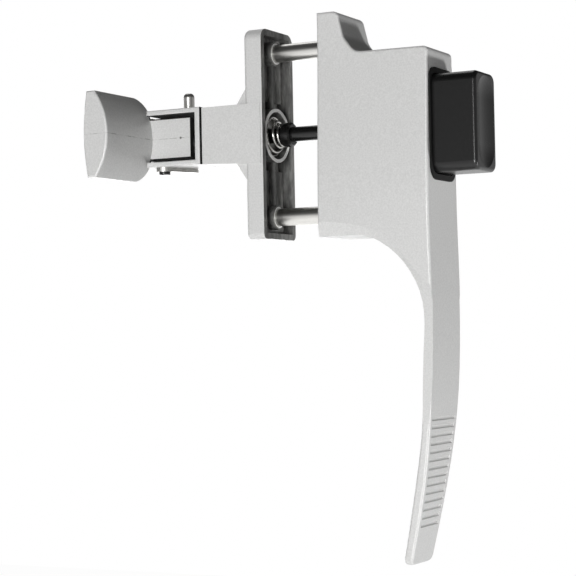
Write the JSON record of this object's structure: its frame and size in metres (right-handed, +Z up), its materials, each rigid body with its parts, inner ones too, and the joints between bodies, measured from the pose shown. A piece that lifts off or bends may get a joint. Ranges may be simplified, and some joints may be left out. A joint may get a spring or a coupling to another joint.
{
  "type": "storm door push button latch",
  "caption": "Storm door latch set: curved outside pull handle with a push button on a sprung plunger, and an inside escutcheon whose pivoting latch hooks behind the jamb strike.",
  "frame": {"origin": "on the plunger's axis, on the handle's back face, which lies on the door's outside", "axes": "+X out of the house along the plunger, +Z up along the handle, -Y towards the jamb that the latch nose reaches"},
  "size_m": [0.1047, 0.0379, 0.1444],
  "materials": {
    "silver_paint": "fine speckled silver paint on die-cast zinc",
    "zinc_steel": "bright zinc plated steel",
    "spring_wire": "drawn spring wire",
    "button_black": "moulded black plastic with a soft gloss",
    "black_oxide": "black oxide on steel"
  },
  "bodies": {
    "base": {"handle": "silver_paint", "button_seal": "button_black", "back_plate": "zinc_steel", "upper_post": "zinc_steel", "lower_post": "zinc_steel", "escutcheon": "silver_paint", "upper_screw": "zinc_steel", "lower_screw": "zinc_steel", "clevis": "silver_paint", "clevis_screw": "zinc_steel", "hinge_pin": "zinc_steel", "pin_keeper": "zinc_steel", "keeper_screw": "black_oxide", "spring_washer": "zinc_steel", "button_spring": "spring_wire", "plunger_spring": "spring_wire", "latch_spring": "spring_wire"},
    "button_body": {"button": "button_black", "plunger": "black_oxide", "plunger_clip": "zinc_steel", "spring_collar": "black_oxide", "push_foot": "black_oxide"},
    "latch_body": {"latch": "silver_paint"}
  },
  "joints": [
    {"name": "latch_swing", "type": "hinge", "parent": "base", "child": "latch_body", "pos_m": [-0.04655, 0.004, 0], "axis": [0, 0, -1], "range_deg": [0, 24], "stiffness_Nm_per_rad": 0.065, "springref_deg": -22.92, "deforming": ["latch_spring"]},
    {"name": "button_slide", "type": "slide", "parent": "base", "child": "button_body", "axis": [-1, 0, 0], "range_m": [0, 0.003], "stiffness_N_per_m": 20, "springref_m": -0.003, "deforming": ["button_spring", "plunger_spring"]}
  ],
  "couplings": [
    {"joint": "button_slide", "follows": "latch_swing", "m_per_rad": 0.00716}
  ]
}
